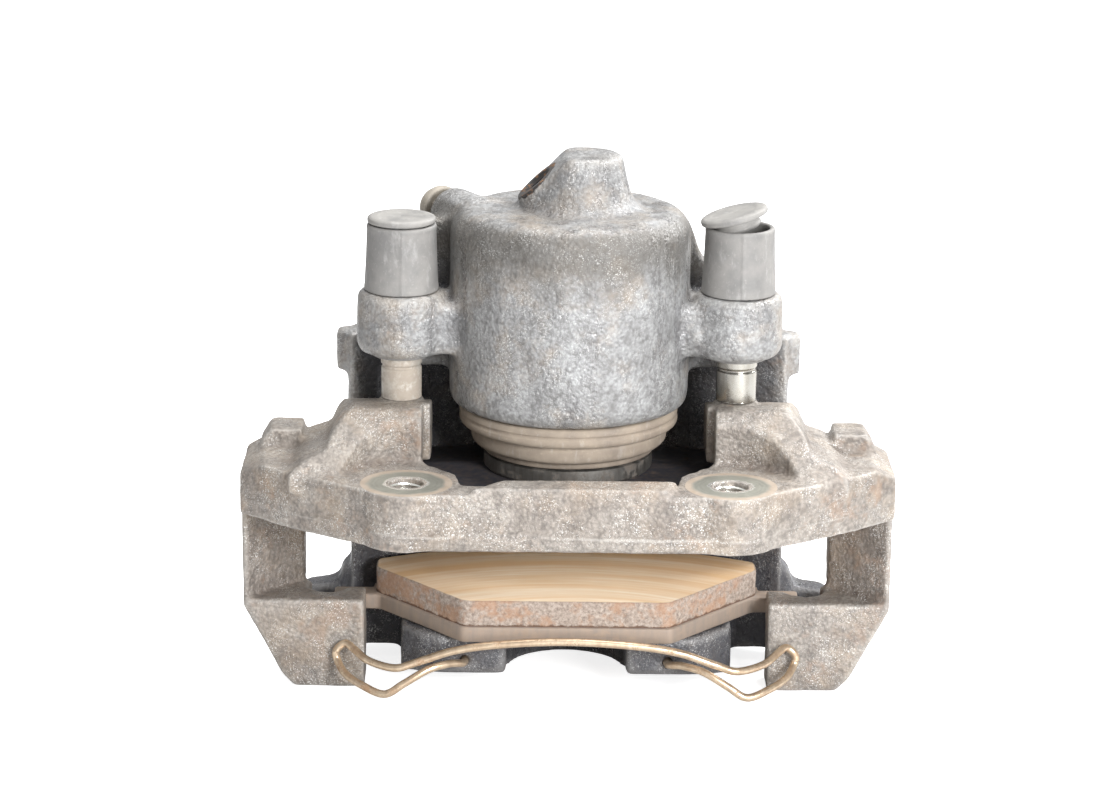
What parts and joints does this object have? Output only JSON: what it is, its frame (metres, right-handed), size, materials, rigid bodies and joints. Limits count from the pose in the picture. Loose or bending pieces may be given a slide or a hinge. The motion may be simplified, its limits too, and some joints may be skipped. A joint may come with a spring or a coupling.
{
  "type": "brake caliper",
  "caption": "Floating single-piston disc brake caliper with carrier bracket, guide pins, dust boot, pads and wire spring, standing on its outboard face.",
  "frame": {"origin": "midway between the two tapped mounting holes, on the machined mounting face of the carrier", "axes": "+Z inboard along the piston axis (up as it stands), +X along the line of the mounting holes, +Y away from the wheel hub"},
  "size_m": [0.2068, 0.105, 0.1715],
  "materials": {
    "housing_iron": "weathered sand-cast iron, damp grey patches, a little rust",
    "carrier_iron": "weathered sand-cast iron, brown rust film and pale speckle",
    "piston_steel": "ground steel, dull and dusty at the open end",
    "pin_steel": "ground steel with dried dirt",
    "small_steel": "zinc-plated steel, dulled",
    "spring_wire": "yellow-passivated spring wire with light rust",
    "backplate_steel": "painted steel covered with brake dust",
    "friction_lining": "pressed friction compound, scored face with ochre rust bloom",
    "bush_rubber": "grey dusty moulded rubber",
    "cap_plastic": "grey dusty moulded plastic",
    "boot_rubber": "brown dusty moulded rubber",
    "seal_rubber": "black rubber"
  },
  "bodies": {
    "carrier": {"carrier": "carrier_iron", "guide_pin_left": "pin_steel", "guide_pin_right": "pin_steel"},
    "housing": {"housing": "housing_iron", "piston_seal": "seal_rubber", "dust_boot": "boot_rubber", "boot_ring": "small_steel", "guide_bush_left": "bush_rubber", "guide_bush_right": "bush_rubber", "anti_rattle_spring": "spring_wire"},
    "piston": {"piston": "piston_steel", "piston_clip": "small_steel", "clip_rivets": "small_steel", "inner_backplate": "backplate_steel", "inner_lining": "friction_lining"},
    "outer_pad": {"outer_backplate": "backplate_steel", "outer_lining": "friction_lining"},
    "bleed_screw": {"bleed_screw": "small_steel"},
    "bleed_cap": {"bleed_cap": "seal_rubber"},
    "guide_cap_left": {"guide_cap_left": "cap_plastic"},
    "guide_cap_right": {"guide_cap_right": "cap_plastic"}
  },
  "joints": [
    {"name": "housing_float", "type": "slide", "parent": "carrier", "child": "housing", "axis": [0, 0, 1], "range_m": [-0.004, 0.0065]},
    {"name": "piston_stroke", "type": "slide", "parent": "housing", "child": "piston", "axis": [0, 0, 1], "range_m": [-0.013, 0.008], "deforming": ["dust_boot"]},
    {"name": "outer_pad_slide", "type": "slide", "parent": "carrier", "child": "outer_pad", "axis": [0, 0, 1], "range_m": [-0.004, 0.0065]},
    {"name": "bleed_screw_turn", "type": "hinge", "parent": "housing", "child": "bleed_screw", "pos_m": [-0.0383, 0.0708, 0.07], "axis": [-0.5, 0.866, 0], "range_deg": [0, 180]},
    {"name": "bleed_cap_pull", "type": "slide", "parent": "bleed_screw", "child": "bleed_cap", "axis": [-0.5, 0.866, 0], "range_m": [0, 0.02]},
    {"name": "left_cap_pull", "type": "slide", "parent": "housing", "child": "guide_cap_left", "axis": [0, 0, 1], "range_m": [0, 0.025]},
    {"name": "right_cap_pull", "type": "slide", "parent": "housing", "child": "guide_cap_right", "axis": [0, 0, 1], "range_m": [0, 0.025]}
  ],
  "couplings": [
    {"joint": "piston_stroke", "follows": "housing_float", "ratio": -2},
    {"joint": "outer_pad_slide", "follows": "housing_float", "ratio": 1}
  ]
}
